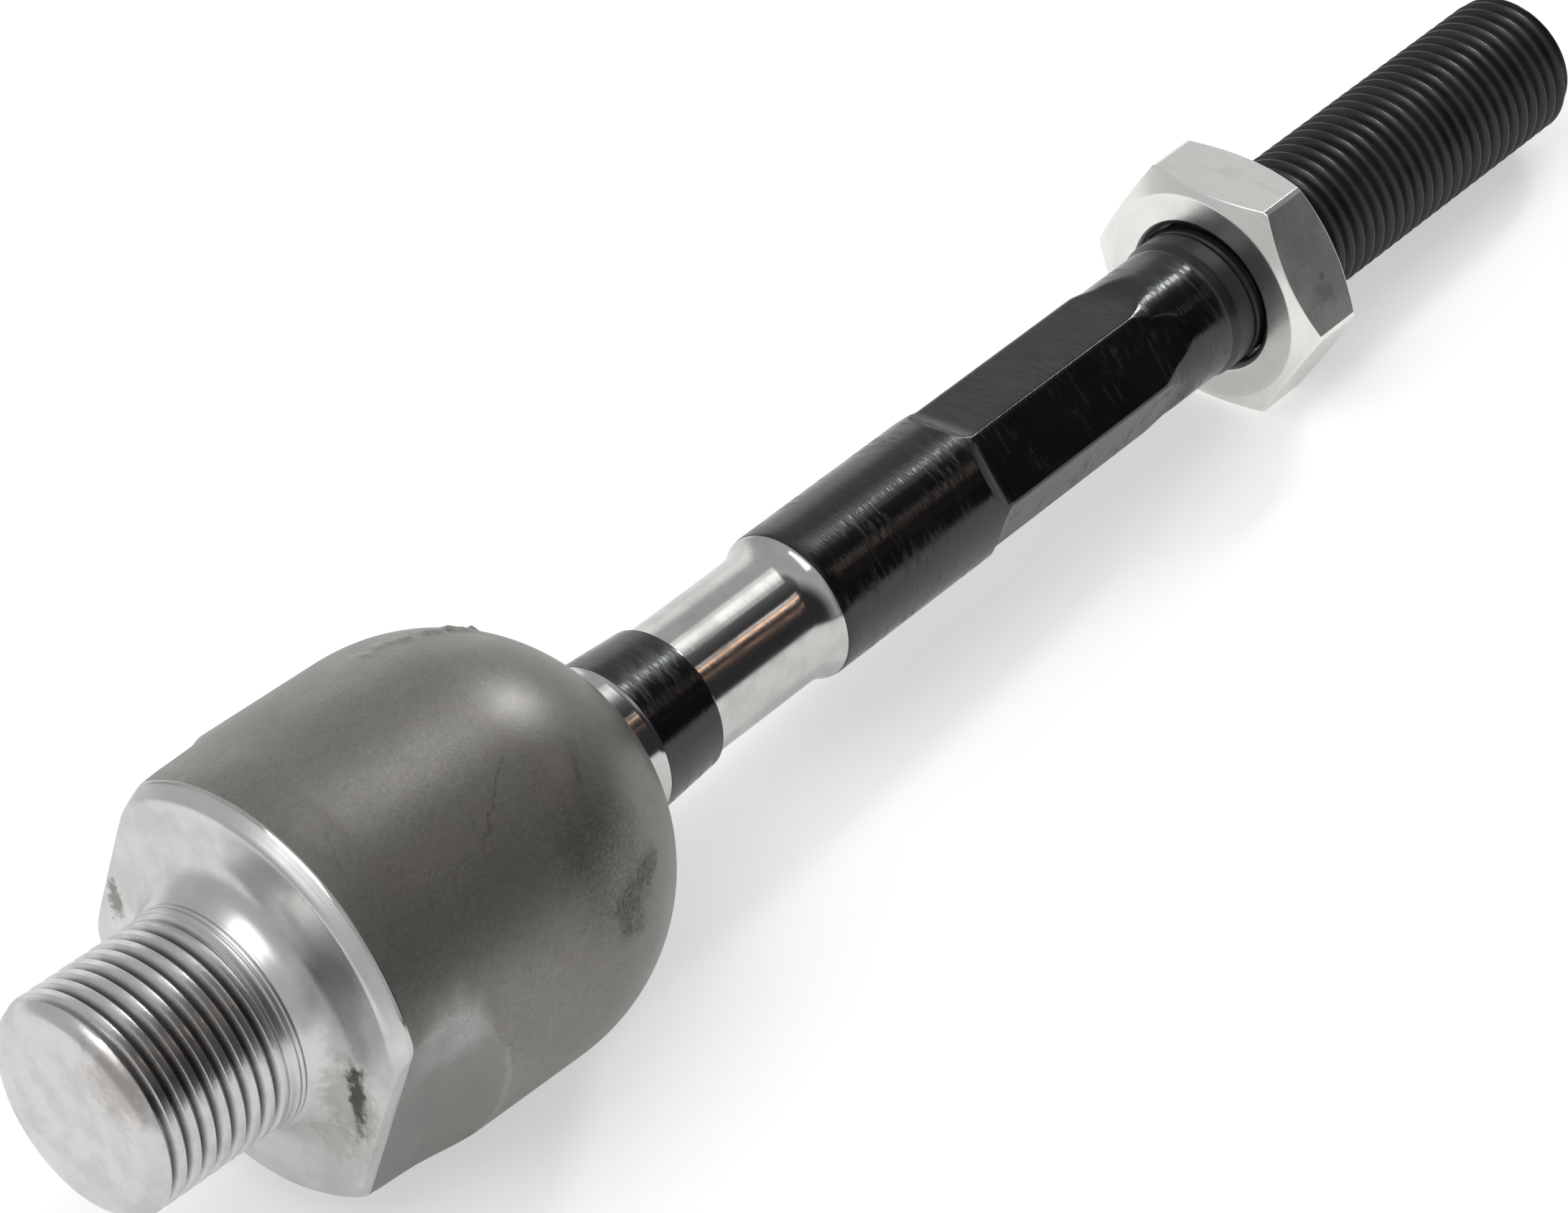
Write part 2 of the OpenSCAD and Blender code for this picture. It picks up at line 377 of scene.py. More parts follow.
# %% [markdown]
# A screw thread is a groove that winds round a cylinder, one pitch forward for each turn. On
# the machine it is rolled between dies. A picture of a thread in the bump channel would keep a
# straight outline, and a screw modifier would leave its ends open. Here Geometry Nodes bend a
# flat grid round the axis. The grid's lines follow the helix, so the crest and the root each
# run along one line of points and stay crisp. Rows that would pass an end are held at that
# end, and merged there. The same tree makes both threads, with other sizes.

# %% Inputs of the thread tree
thread_tree = bpy.data.node_groups.new("screw thread", "GeometryNodeTree")
thread_inputs = {}
for label, kind, value in (
        ("Pitch", "Float", 1.5), ("Depth", "Float", 0.85), ("Crest Radius", "Float", 7.0),
        ("Start", "Float", 0.0), ("End", "Float", 40.0), ("Blunt Until", "Float", 0.0),
        ("Blunt Radius", "Float", 7.0), ("Start Radius", "Float", 7.0),
        ("Lead Length", "Float", 1.5), ("Chamfer Length", "Float", 1.0),
        ("Chamfer Depth", "Float", 1.5), ("Crest Share", "Float", 0.2),
        ("Columns", "Int", 112), ("Rows Each Turn", "Int", 12),
        ("Finish", "Material", None)):
    socket = thread_tree.interface.new_socket(label, in_out="INPUT",
                                              socket_type="NodeSocket" + kind)
    if value is not None:
        socket.default_value = value
    thread_inputs[label] = socket.identifier
thread_tree.interface.new_socket("Geometry", in_out="OUTPUT", socket_type="NodeSocketGeometry")
print("thread inputs:", list(thread_inputs))

# %% Grid that becomes the thread
given = terms_of(thread_tree, add(thread_tree, "NodeGroupInput"))
start, end, pitch = given["Start"], given["End"], given["Pitch"]
per_turn, columns = given["Rows Each Turn"], given["Columns"]
turns = (end - start) / pitch
row_count = calc("CEIL", (turns + 1) * per_turn + 4)
grid = term(thread_tree, "GeometryNodeMeshGrid", {
    "Size X": row_count - 1, "Size Y": columns,
    "Vertices X": row_count, "Vertices Y": columns + 1}, output="Mesh")
flat_place = term(thread_tree, "GeometryNodeInputPosition")
apart = terms_of(thread_tree, add(thread_tree, "ShaderNodeSeparateXYZ", {0: flat_place}))
row = calc("ROUND", apart["X"] + (row_count - 1) * 0.5)
column = calc("ROUND", apart["Y"] + columns * 0.5)
print("grid of the thread:", len(thread_tree.nodes), "nodes")

# %% Helix, held between the two ends
turned = column / columns
steps = (row - 1) / per_turn - 1
free = start + pitch * (steps + turned)
along = calc("MAXIMUM", calc("MINIMUM", free, end), start)
phase = calc("FRACT", (along - start) / pitch - turned + 0.5 / per_turn)
from_crest = 1 - calc("ABSOLUTE", phase * 2 - 1)
groove = from_crest.ramp(given["Crest Share"], 0.95, smooth=True)
print("with the helix:", len(thread_tree.nodes), "nodes")

# %% Radius at each point
into = along - start
cut_in = (into / given["Lead Length"]).ramp(0.0, 1.0, smooth=True)
past_blunt = (along - given["Blunt Until"]).ramp(-0.75, 0.75)
crest = given["Blunt Radius"] + past_blunt * (given["Crest Radius"] - given["Blunt Radius"])
left = (end - along) / given["Chamfer Length"]
rounded = calc("POWER", calc("SUBTRACT", 1, left, clamp=True), 1.5)
rounded = 1 - calc("SQRT", calc("SUBTRACT", 1, rounded, clamp=True))
ended = given["Crest Radius"] - given["Chamfer Depth"] * rounded
started = given["Start Radius"] + into * 0.35
envelope = calc("MINIMUM", calc("MINIMUM", crest, ended), started)
cut = given["Crest Radius"] - given["Depth"] * groove * cut_in
off_axis = calc("GREATER_THAN", row, 0.5) * calc("LESS_THAN", row, row_count - 1.5)
radius = calc("MINIMUM", envelope, cut) * off_axis
print("with the radius:", len(thread_tree.nodes), "nodes")

# %% Closed thread
angle = turned * (2 * math.pi)
position = term(thread_tree, "ShaderNodeCombineXYZ", {
    0: radius * calc("COSINE", angle), 1: radius * calc("SINE", angle), 2: along})
bent = term(thread_tree, "GeometryNodeSetPosition", {"Geometry": grid, "Position": position})
outward = term(thread_tree, "GeometryNodeFlipFaces", {0: bent})
sewn = term(thread_tree, "GeometryNodeMergeByDistance", {
    "Geometry": outward, "Distance": SEWN_MM})
whole = term(thread_tree, "GeometryNodeRealizeInstances", {"Geometry": sewn})
coated = term(thread_tree, "GeometryNodeSetMaterial", {
    "Geometry": whole, "Material": given["Finish"]})
put(thread_tree, add(thread_tree, "NodeGroupOutput").inputs[0], coated)
print("thread tree has", len(thread_tree.nodes), "nodes")


# %% Cut a thread with the tree
def cut_thread(bm, sizes, finish, slot, flip=False):
    blank = bpy.data.objects.new("thread", bpy.data.meshes.new("thread"))
    bpy.context.scene.collection.objects.link(blank)
    modifier = blank.modifiers.new("thread", "NODES")
    modifier.node_group = thread_tree
    for label, value in {**sizes, "Finish": finish}.items():
        modifier[thread_inputs[label]] = value
    ready = blank.evaluated_get(bpy.context.evaluated_depsgraph_get())
    mesh = bpy.data.meshes.new_from_object(ready)
    blank.modifiers.clear()
    bpy.data.objects.remove(blank)
    if flip:
        mesh.transform(Matrix.Rotation(math.pi, 4, "Y"))
    before = len(bm.faces)
    bm.from_mesh(mesh)
    bm.faces.ensure_lookup_table()
    for face in bm.faces[before:]:
        face.material_index = slot
    bpy.data.meshes.remove(mesh)
    print("thread of", len(bm.faces) - before, "faces")


# %% [markdown]
# Steel is never one flat grey. Tools leave rings, brushes leave streaks, handling leaves
# scratches, and oil leaves films that darken it. Each of these is a node group that gives only
# a value, built once, and placed in every material that shows it, with its own scale.
# All of them start from the place on the turned part: along the axis, out from it, and round
# it. A picture wrapped round the part would need a seam, and these three need none.

# %% Group for places on a turned part
def new_group(name, inputs, outputs):
    tree = bpy.data.node_groups.new(name, "ShaderNodeTree")
    for label, kind, value in inputs:
        socket = tree.interface.new_socket(label, in_out="INPUT",
                                           socket_type="NodeSocket" + kind)
        socket.default_value = value
    for label, kind in outputs:
        tree.interface.new_socket(label, in_out="OUTPUT", socket_type="NodeSocket" + kind)
    given = terms_of(tree, add(tree, "NodeGroupInput"))
    return tree, given, add(tree, "NodeGroupOutput").inputs


on_part, given, out = new_group("place on the part", [], [
    ("Place", "Vector"), ("Along", "Float"), ("Radius", "Float"), ("Turn", "Vector")])
spot = term(on_part, "ShaderNodeAttribute", output="Vector", attribute_name="axis_mm")
apart = terms_of(on_part, add(on_part, "ShaderNodeSeparateXYZ", {0: spot}))
sideways = term(on_part, "ShaderNodeCombineXYZ", {0: apart["X"], 1: apart["Y"]})
put(on_part, out["Place"], spot)
put(on_part, out["Along"], apart["Z"])
put(on_part, out["Radius"], vector_calc("LENGTH", sideways))
put(on_part, out["Turn"], vector_calc("NORMALIZE", sideways))
print("place on the part:", len(on_part.nodes), "nodes")

# %% [markdown]
# A lathe tool leaves a fine ring at each turn. The rings here are noise, thin across the marks
# and long round the part, so that no two are alike. A regular wave would look like a thread.

# %% Group for turning marks
turning_marks, given, out = new_group("turning marks", [
    ("Across", "Float", 0.0), ("Turn", "Vector", (0, 0, 0)),
    ("Lines Each Millimetre", "Float", 4.0), ("Breaks Each Radian", "Float", 0.35)],
    [("Height", "Float"), ("Streak", "Float")])
lines = given["Across"] * given["Lines Each Millimetre"]
drift = vector_calc("SCALE", given["Turn"], given["Breaks Each Radian"])
ringed = vector_calc("ADD", drift, term(turning_marks, "ShaderNodeCombineXYZ", {2: lines}))
put(turning_marks, out["Height"], noise(ringed, 1.0, 3.0, 0.65) - 0.5)
put(turning_marks, out["Streak"], noise(ringed, 0.17) - 0.5)
print("turning marks:", len(turning_marks.nodes), "nodes")

# %% [markdown]
# Scratches come from handling, so they lie in patches. Each is the thin line where a stretched
# noise crosses its middle value, wound a little round the part. Modelled grooves would be
# thinner than a pixel and only flicker.

# %% Group for scratches
scratches, given, out = new_group("scratches", [
    ("Place", "Vector", (0, 0, 0)), ("Along", "Float", 0.0), ("Turn", "Vector", (0, 0, 0)),
    ("Twist", "Float", 0.0), ("Lines Each Radian", "Float", 6.0), ("Length", "Float", 12.0),
    ("Width", "Float", 0.02), ("Share", "Float", 0.3)], [("Mask", "Float")])
wound = term(scratches, "ShaderNodeVectorRotate", {
    "Vector": given["Turn"], "Angle": given["Along"] * given["Twist"]}, rotation_type="Z_AXIS")
spread = vector_calc("SCALE", wound, given["Lines Each Radian"])
drawn = vector_calc("ADD", spread, term(scratches, "ShaderNodeCombineXYZ", {
    2: given["Along"] / given["Length"]}))
line = calc("ABSOLUTE", noise(drawn, 1.0, 1.0) - 0.5).ramp(0.0, given["Width"], 1.0, 0.0)
patch = noise(given["Place"], 0.21).ramp(0.72 - given["Share"], 0.8 - given["Share"])
put(scratches, out["Mask"], line * patch)
print("scratches:", len(scratches.nodes), "nodes")

# %% [markdown]
# Oil lies on steel in thin clouds, and a stain is one cloud at one place. The film covers the
# whole part. The stain is an egg shape with a torn edge, placed where the photograph shows a
# mark. The same egg shape also places patches of painted shade and painted reflection. Marks
# painted by hand would be tied to one picture.

# %% Groups for the oil film and for one stain, which also places painted light
grime, given, out = new_group("grime", [
    ("Place", "Vector", (0, 0, 0)), ("Size", "Float", 8.0)], [("Film", "Float")])
clouds = noise(vector_calc("SCALE", given["Place"], 1.0 / given["Size"]), 1.0, 5.0, 0.6)
put(grime, out["Film"], clouds.ramp(0.38, 0.68, smooth=True))

stain_and_painted_light, given, out = new_group("stain_and_painted_light", [
    ("Place", "Vector", (0, 0, 0)), ("Centre", "Vector", (0, 0, 0)),
    ("Size", "Vector", (1, 1, 1)), ("Ragged", "Float", 0.5), ("Grain", "Float", 1.0)],
    [("Mask", "Float")])
away = vector_calc("SUBTRACT", given["Place"], given["Centre"])
away = vector_calc("LENGTH", vector_calc("DIVIDE", away, given["Size"]))
torn = noise(given["Place"], given["Grain"], 4.0, 0.65) - 0.5
away = away + torn * (given["Ragged"] * 4.0)
put(stain_and_painted_light, out["Mask"], away.ramp(1.0, 0.4, smooth=True))
print("groups:", [group.name for group in bpy.data.node_groups])


# %% [markdown]
# Every metal here starts from the same few nodes: the place on the part, the wear along its
# edges, and one Principled surface. Each recipe then adds only what is its own. A copy of a
# finished material would carry over nodes that the next metal doesn't need.

# %% Start of every material
class Recipe:
    def __init__(self, name):
        self.material = bpy.data.materials.new(name)
        self.material.use_nodes = True
        self.tree = self.material.node_tree
        self.surface = self.tree.nodes["Principled BSDF"]
        self.on = self.use(on_part)
        self.worn = self.fact("worn")
        self.milled = self.fact("milled")

    def fact(self, name):
        return term(self.tree, "ShaderNodeAttribute", output="Fac", attribute_name=name)

    def use(self, group, **inputs):
        made = add(self.tree, "ShaderNodeGroup", node_tree=group)
        for label, value in inputs.items():
            put(self.tree, made.inputs[label.replace("_", " ")], value)
        return terms_of(self.tree, made)

    def film(self, size):
        return self.use(grime, Place=self.on["Place"], Size=size)["Film"]

    def turned(self, across, lines_each_mm, breaks=0.35):
        return self.use(turning_marks, Across=self.on[across], Turn=self.on["Turn"],
                        Lines_Each_Millimetre=lines_each_mm, Breaks_Each_Radian=breaks)

    def scratched(self, **inputs):
        return self.use(scratches, Place=self.on["Place"], Along=self.on["Along"],
                        Turn=self.on["Turn"], **inputs)["Mask"]

    # One stain's mask, which also places patches of painted shade and painted reflection
    def stained_and_painted_light(self, centre, size, ragged, grain):
        return self.use(stain_and_painted_light, Place=self.on["Place"], Centre=centre, Size=size,
                        Ragged=ragged, Grain=grain)["Mask"]

    def noise(self, *numbers):
        return noise(self.on["Place"], *numbers)

    def mix(self, amount, a, b):
        return blend_colours(self.tree, amount, a, b)

    def finish(self, bump_height, bump_mm, **inputs):
        relief = term(self.tree, "ShaderNodeBump", {
            "Strength": 1.0, "Distance": bump_mm * MM, "Height": bump_height})
        for label, value in {**inputs, "Normal": relief}.items():
            put(self.tree, self.surface.inputs[label.replace("_", " ")], value)
        print(self.material.name, "has", len(self.tree.nodes), "nodes")


# %% [markdown]
# The barrel is forged, then tumbled to a dark warm satin. Its grain is too fine to see as
# bumps, but it spreads the reflections. One flat colour would look like plastic, so the grain,
# a coarser mottle and a faint brown tint are mixed in, and a few scratches run across.

# %% Dark forged steel of the barrel
forged = Recipe("forged barrel steel")
place = forged.on["Place"]
film = forged.film(14.0)
nicks = forged.scratched(Twist=0.16, Lines_Each_Radian=4.0, Length=20.0, Width=0.016, Share=0.11)
grain = forged.noise(3.2, 4.0, 0.75)
mottle = forged.noise(0.9, 3.0, 0.6)
tint = forged.noise(0.3, 3.0, 0.6)
shade = forged.mix(film, (0.264, 0.258, 0.234), (0.324, 0.317, 0.291))
shade = forged.mix(grain.ramp(0.34, 0.66, 0.0, 0.5), shade, (0.15, 0.147, 0.133))
shade = forged.mix(mottle.ramp(0.5, 0.75, 0.0, 0.35), shade, (0.17, 0.165, 0.149))
shade = forged.mix(tint.ramp(0.5, 0.62, 0.0, 0.22), shade, (0.27, 0.225, 0.2))
shade = forged.mix(nicks * 0.3, shade, (0.09, 0.085, 0.08))
shade = forged.mix(forged.worn * 0.5, shade, (0.42, 0.41, 0.39))
shade = forged.mix(forged.milled * 0.5, shade, (0.35, 0.345, 0.335))
print("barrel colours mixed in", len(forged.tree.nodes), "nodes")

# %% [markdown]
# Marks on the barrel, as the photograph shows them: a bright half-moon on the near flat, which
# is a painted reflection, a large darker patch on the near side of the rounded end, which is
# painted shade, two dark smudges of oil inside it, one more smudge further round, and a small
# brown patch near the top, which is a painted warm reflection. The grain breaks each of them
# up; on the smudges, as oil lies in the pits first.
# A faint line, like a fold from forging, wanders along a plane through the barrel.

# %% Marks, painted light and fold line on the barrel
for centre, size, ragged, amount, colour in (
        # painted reflection: the bright half-moon on the near flat
        ((-2.6, -17.4, -21.2), (5.4, 5.4, 4.2), 0.15, 0.7, (0.56, 0.55, 0.54)),
        # painted shade: a large darker patch on the near side of the rounded end
        ((-7.8, -17.0, -2.8), (8.5, 7.0, 6.5), 0.14, 0.7, (0.12, 0.117, 0.107)),
        ((-3.9, -18.2, -2.1), (3.0, 2.8, 2.8), 0.45, 0.8, (0.06, 0.057, 0.05)),
        ((-5.3, -16.9, 1.2), (1.6, 1.6, 2.4), 0.45, 0.85, (0.05, 0.047, 0.042)),
        ((-15.4, 10.2, -1.3), (1.6, 1.8, 2.4), 0.5, 0.6, (0.10, 0.095, 0.085)),
        # painted warm reflection: the small light brown patch near the top of the rounded end
        ((-14.6, -11.7, -2.8), (1.8, 1.8, 1.4), 0.25, 0.4, (0.45, 0.36, 0.29))):
    patchy = grain.ramp(0.38, 0.6, 0.35 * amount, amount)
    shade = forged.mix(forged.stained_and_painted_light(centre, size, ragged, 0.5) * patchy, shade, colour)
FOLD_NORMAL = (-0.4498, 0.6217, -0.6413)
FOLD_DISTANCE = 6.0
from_fold = vector_calc("DOT_PRODUCT", place, FOLD_NORMAL) + (mottle - 0.5) * 1.6
from_fold = calc("ABSOLUTE", from_fold - FOLD_DISTANCE)
near_fold = forged.stained_and_painted_light((-15.1, -11.0, -9.5), (5.5, 5.5, 5.5), 0.1, 1.0)
shade = forged.mix(from_fold.ramp(0.05, 0.12, 0.4, 0.0) * near_fold, shade, (0.06, 0.055, 0.05))
forged.finish(grain, 0.012, Base_Color=shade, Metallic=0.62,
              Roughness=(film + grain).ramp(0.2, 1.4, 0.42, 0.33))

# %% [markdown]
# The shoulder, its fillet and the stub are turned after forging, so they are bright, with fine
# rings round the axis. Painted shade darkens a wide patch of the shoulder's near half, between
# the fillet and the rim, clouds of oil lie by the near streak, and two dark streaks of dirt
# cross its ends.

# %% Machined steel of the shoulder and stub
machined = Recipe("machined steel")
rings = machined.turned("Radius", 2.5)
film = machined.film(5.0)
shade = machined.mix(film, (0.75, 0.74, 0.73), (0.64, 0.63, 0.615))
shade = machined.mix(rings["Streak"].ramp(-0.1, 0.2, 0.0, 0.3), shade, (0.48, 0.47, 0.46))
for centre, size, ragged, amount, colour in (
        # painted shade: these two grey patches darken the shoulder's face between the fillet and
        # the rim
        ((-7.6, -11.2, -27.0), (5.4, 4.2, 2.6), 0.05, 0.8, (0.29, 0.29, 0.285)),
        ((-2.8, -12.4, -27.0), (4.2, 3.0, 2.4), 0.15, 0.5, (0.33, 0.33, 0.325)),
        ((3.4, -12.0, -26.8), (6.2, 3.4, 3.0), 0.3, 0.6, (0.34, 0.35, 0.29)),
        ((8.2, -9.6, -26.8), (3.0, 2.6, 3.0), 0.5, 0.45, (0.40, 0.41, 0.35)),
        ((2.6, -12.7, -26.8), (4.8, 1.0, 3.0), 0.5, 0.9, (0.05, 0.046, 0.036)),
        ((-2.2, 14.3, -26.8), (2.6, 1.0, 3.0), 0.55, 0.7, (0.12, 0.11, 0.09))):
    shade = machined.mix(machined.stained_and_painted_light(centre, size, ragged, 1.1) * amount, shade, colour)
machined.finish(rings["Height"], 0.014, Base_Color=shade, Metallic=1.0,
                Roughness=film.ramp(0.0, 1.0, 0.27, 0.36))

# %% [markdown]
# The rim's edge, the neck and the boot seat are ground and polished, because a rubber boot has
# to seal on them. They mirror the room in long bands, so their rings are fainter.

# %% Polished steel of the rim, neck and boot seat
polished = Recipe("polished steel")
rings = polished.turned("Along", 3.0)
film = polished.film(4.0)
shade = polished.mix(film, (0.64, 0.63, 0.61), (0.53, 0.52, 0.50))
polished.finish(rings["Height"], 0.003, Base_Color=shade, Metallic=1.0,
                Roughness=film.ramp(0.0, 1.0, 0.09, 0.16))

# %% [markdown]
# The stub's thread is bright too, with painted shade deep in the groove, and its end is a
# little brown on one side.

# %% Threaded steel of the stub
threaded = Recipe("rolled thread steel")
film = threaded.film(3.0)
# painted shade: the groove darkens towards its root, except at the chamfered end
painted_groove_shade = threaded.on["Radius"].ramp(9.1, 9.5, 0.75, 0.0)
painted_groove_shade = painted_groove_shade * threaded.on["Along"].ramp(-43.2, -42.4)
rust = threaded.stained_and_painted_light((-6.3, -5.8, -43.9), (4.6, 4.0, 1.2), 0.4, 0.9)
shade = threaded.mix(film, (0.72, 0.71, 0.70), (0.63, 0.62, 0.605))
shade = threaded.mix(painted_groove_shade, shade, (0.05, 0.045, 0.04))
shade = threaded.mix(rust * 0.5, shade, (0.38, 0.31, 0.27))
threaded.finish(threaded.noise(2.5, 4.0), 0.01, Base_Color=shade, Metallic=1.0,
                Roughness=film.ramp(0.0, 1.0, 0.24, 0.34))

# %% [markdown]
# The collar and the rod carry a thin glossy black coat over turned steel. The coat follows
# the turning marks under it, so its reflections are drawn out along the rod and break up in
# fine streaks. Corners show the steel where the coat is rubbed through. A black metal would
# mirror the lamps too strongly, so the coat is a plain glossy surface.

# %% Black coat of the collar and rod
black = Recipe("black coat")
rings = black.turned("Along", 2.2, breaks=2.6)
film = black.film(5.0)
nicks = black.scratched(Twist=0.3, Lines_Each_Radian=2.5, Length=9.0, Width=0.012, Share=0.13)
rub = black.noise(1.6, 4.0, 0.7)
bare = calc("MULTIPLY", black.worn, rub.ramp(0.56, 0.68), clamp=True)
shade = black.mix(film, (0.0032, 0.0035, 0.0042), (0.0060, 0.0062, 0.0066))
shade = black.mix(nicks * 0.13, shade, (0.12, 0.12, 0.12))
shade = black.mix(bare * 0.4, shade, (0.30, 0.29, 0.28))
scuffs = rings["Height"].ramp(-0.02, 0.12) * black.noise(0.22).ramp(0.42, 0.58)
run_out = black.milled * black.on["Along"].ramp(57.6, 56.6)
dull = scuffs * 0.26 + run_out * 0.3
black.finish(rings["Height"], 0.026, Base_Color=shade, Specular_IOR_Level=0.68,
             Specular_Tint=(0.93, 0.97, 1.0), Roughness=dull + film.ramp(0.0, 1.0, 0.11, 0.19))

# %% [markdown]
# The long thread has a dull black phosphate, which holds oil against rust. Its crests are
# handled most, so they are a little lighter.

# %% Black phosphate of the long thread
phosphate = Recipe("black thread")
film = phosphate.film(4.0)
crest = phosphate.on["Radius"].ramp(6.75, 6.98) * film.ramp(0.0, 1.0, 0.0, 0.25)
shade = phosphate.mix(film, (0.008, 0.0088, 0.0098), (0.017, 0.0176, 0.0186))
shade = phosphate.mix(crest, shade, (0.06, 0.062, 0.066))
phosphate.finish(phosphate.noise(6.0, 3.0), 0.006, Base_Color=shade, Specular_IOR_Level=0.55,
                 Roughness=film.ramp(0.0, 1.0, 0.3, 0.4))

# %% [markdown]
# The nut is cold formed and zinc plated. Zinc is a pale, softly cloudy metal. Fine marks from
# the die run round it, its corners are rubbed brighter, and a tool has left small dull spots
# on one flat.

# %% Zinc of the jam nut
zinc = Recipe("zinc plate")
film = zinc.film(5.0)
brush = zinc.turned("Along", 3.0, breaks=1.2)["Height"]
shade = zinc.mix(film, (0.95, 0.945, 0.88), (0.88, 0.88, 0.84))
shade = zinc.mix(brush.ramp(0.0, 0.25, 0.0, 0.35), shade, (0.62, 0.62, 0.60))
for centre, size, amount in (((-3.1, -10.9, 96.3), (1.3, 1.3, 1.7), 0.35),
                             ((-4.2, -10.3, 97.0), (0.5, 0.5, 0.6), 0.5),
                             ((-10.9, 0.2, 97.0), (1.2, 1.6, 0.9), 0.12)):
    shade = zinc.mix(zinc.stained_and_painted_light(centre, size, 0.5, 1.6) * amount, shade, (0.34, 0.34, 0.31))
shade = zinc.mix(zinc.worn * 0.6, shade, (0.95, 0.94, 0.92))
zinc.finish(zinc.noise(0.5, 1.0) + brush * 0.6, 0.007, Base_Color=shade, Metallic=1.0,
            Roughness=film.ramp(0.0, 1.0, 0.26, 0.31))

# %% [markdown]
# The ball turns in a cup of natural plastic, which is seen only when the rod swings. It comes
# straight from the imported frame, so its finish uses the object's own coordinates. Grease makes
# it darker and shinier in patches.

# %% Plastic of the ball seat
plastic = bpy.data.materials.new("seat plastic")
plastic.use_nodes = True
tree = plastic.node_tree
place = term(tree, "ShaderNodeTexCoord", output="Object")
grease = noise(place, 160.0, 3.0)
shade = blend_colours(tree, grease.ramp(0.4, 0.7), (0.74, 0.71, 0.62), (0.56, 0.50, 0.38))
relief = term(tree, "ShaderNodeBump", {
    "Strength": 0.4, "Distance": 0.00003, "Height": noise(place, 900.0, 4.0)})
surface = tree.nodes["Principled BSDF"].inputs
put(tree, surface["Base Color"], shade)
put(tree, surface["Roughness"], grease.ramp(0.4, 0.7, 0.42, 0.25))
put(tree, surface["Normal"], relief)
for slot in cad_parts["ball_seat"].material_slots:
    slot.material = plastic
print("materials:", [material.name for material in bpy.data.materials])

# %% [markdown]
# The housing is one forging. Its outline starts at the root of the stub, runs out over the
# fillet and the shoulder with its bright rolled rim, up the barrel, and over the rolled edge
# into the socket. The socket's inside is drawn too, because it shows through the mouth when
# the rod swings. The two wrench flats end in a round run-out, as a cutter leaves it.
# A torn burr runs along the barrel's top, as a forging die can leave it. It is raised from the
# skin, because it shows against the background, where paint wouldn't.

# %% Outline of the housing
BARREL_R = 18.848
DOME_R = 17.8
CAVITY_R = 13.02
MOUTH_R = 9.8
MOUTH_Z = 10.0
SHOULDER_Z = -26.8
DOME_Z = -5.0
FLATS = {"half_width": 15.5, "start": -30.3, "start_round": 5.5, "end": -21.6, "end_round": 5.5}
BURR_START, BURR_LENGTH, BURR_WIDTH = -6.2, 10.6, 0.6
DARK, BRIGHT, SHINY, THREAD = 0, 1, 2, 3


def flats_of_housing(place, angle):
    return flats_limit(place, angle, (-71, 109), FLATS)


def burr_of_housing(place, angle):
    part = (place - BURR_START) / BURR_LENGTH
    sway = 0.25 * np.sin(2.3 * place) + 0.15 * np.sin(5.1 * place + 2)
    away = ((angle - np.radians(157 + 7 * part)) * 16.5 - sway) / BURR_WIDTH
    torn = 0.65 + 0.2 * np.sin(3.1 * place) + 0.15 * np.sin(5.9 * place + 1)
    height = np.where((part > 0) & (part < 1), (0.15 + 0.43 * part) * torn, 0)
    return height * np.exp(-away ** 2)


lip = math.degrees(math.asin((MOUTH_Z - DOME_Z) / DOME_R))
cave = math.degrees(math.acos(MOUTH_R / CAVITY_R))
housing_outline = Outline(0, -31.4).line(9.3, -31.4, 9.3, BRIGHT)
housing_outline.line(9.66, -30.9, 0.3, BRIGHT).line(9.72, -30.35, 0.1, BRIGHT)
for step in range(3):
    housing_outline.line(9.74 + 0.03 * step, -30.15 + 0.45 * step, 0.12, BRIGHT)
    housing_outline.line(9.90 + 0.10 * step, -29.98 + 0.45 * step, 0.10, BRIGHT)
housing_outline.arc(13.35, -30.3, 3.5, 157, 90, 16, BRIGHT)
housing_outline.line(15.0, SHOULDER_Z, 0.5, BRIGHT).line(17.0, SHOULDER_Z, 0.15, BRIGHT)
housing_outline.arc(17.0, -25.9, 0.9, -90, -50, 8, BRIGHT)
housing_outline.line(18.35, -25.72, 0.12, BRIGHT).arc(18.05, -25.37, 0.46, -49, -8, 4, SHINY)
housing_outline.line(18.68, -24.0, 0.15, DARK).line(BARREL_R, -21.0, 0.3, DARK)
housing_outline.line(BARREL_R, -15.5, 0.2, DARK).line(BARREL_R, -8.0, 0.7, DARK)
housing_outline.line(BARREL_R, DOME_Z, 0.3, DARK)
housing_outline.arc(BARREL_R - DOME_R, DOME_Z, DOME_R, 0, lip, 48, DARK)
housing_outline.line(MOUTH_R + 0.4, MOUTH_Z, 0.15, DARK)
housing_outline.line(MOUTH_R, MOUTH_Z - 0.4, 0.2, DARK)
housing_outline.line(MOUTH_R, CAVITY_R * math.sin(math.radians(cave)), 0.4, DARK)
housing_outline.arc(0, 0, CAVITY_R, cave, 0, 12, DARK)
housing_outline.line(CAVITY_R, -CAVITY_R, 2.0, DARK).line(0, -CAVITY_R, 4.0, DARK)
print("housing outline has", len(housing_outline.points), "rings")

# %% [markdown]
# The barrel's skin and the stub's thread are made apart and joined in one piece, as they are
# one forging. The thread's tree winds upwards, so the stub's thread is turned over afterwards.

